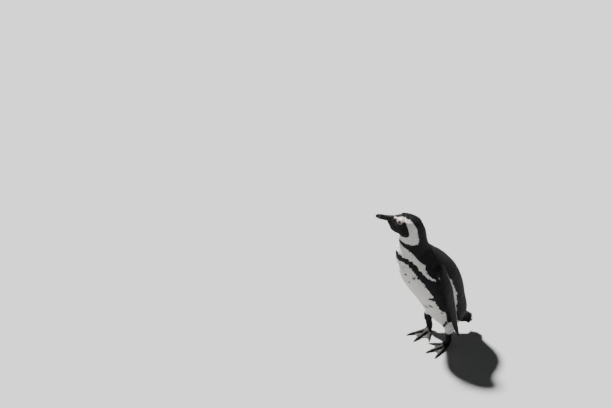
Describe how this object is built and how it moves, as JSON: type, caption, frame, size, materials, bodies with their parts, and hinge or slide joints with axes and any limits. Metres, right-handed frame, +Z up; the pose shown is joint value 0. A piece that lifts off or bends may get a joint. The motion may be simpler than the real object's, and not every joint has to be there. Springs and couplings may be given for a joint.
{
  "type": "african penguin",
  "caption": "Life-size adult African penguin standing still with its head turned and its flippers held a little out from its sides.",
  "frame": {"origin": "middle of the bird's bounding box, on the floor that it stands on", "axes": "+Z up, the bird faces -Y with its head turned towards -X, and its left side is +X"},
  "size_m": [0.2382, 0.3176, 0.5236],
  "materials": {
    "plumage_body": "short dense black feathers on the back, white on the breast and belly with a black band",
    "plumage_head": "fine black feathers, a white stripe over the eye and round the cheek, black face",
    "plumage_neck": "fine feathers, white throat and breast, black nape",
    "plumage_tail": "stiff narrow black feathers",
    "plumage_leg": "short soft white feathers",
    "plumage_flipper": "scale-like black feathers with a thin white rear edge, pale below",
    "foot_skin": "scaly black skin with mottled webs",
    "bill_horn": "black horn with a paler band near the tip",
    "claw_horn": "dark brown-black horn",
    "eye": "wet dark brown eye"
  },
  "bodies": {
    "root": {"head": "plumage_head", "neck": "plumage_neck", "trunk": "plumage_body", "tail": "plumage_tail", "leg_left": "plumage_leg", "leg_right": "plumage_leg", "flipper_left": "plumage_flipper", "flipper_right": "plumage_flipper", "foot_left": "foot_skin", "foot_right": "foot_skin", "bill_upper": "bill_horn", "bill_lower": "bill_horn", "eye_left": "eye", "eye_right": "eye", "claw_left_inner": "claw_horn", "claw_left_middle": "claw_horn", "claw_left_outer": "claw_horn", "claw_left_hind": "claw_horn", "claw_right_inner": "claw_horn", "claw_right_middle": "claw_horn", "claw_right_outer": "claw_horn", "claw_right_hind": "claw_horn"}
  },
  "joints": []
}
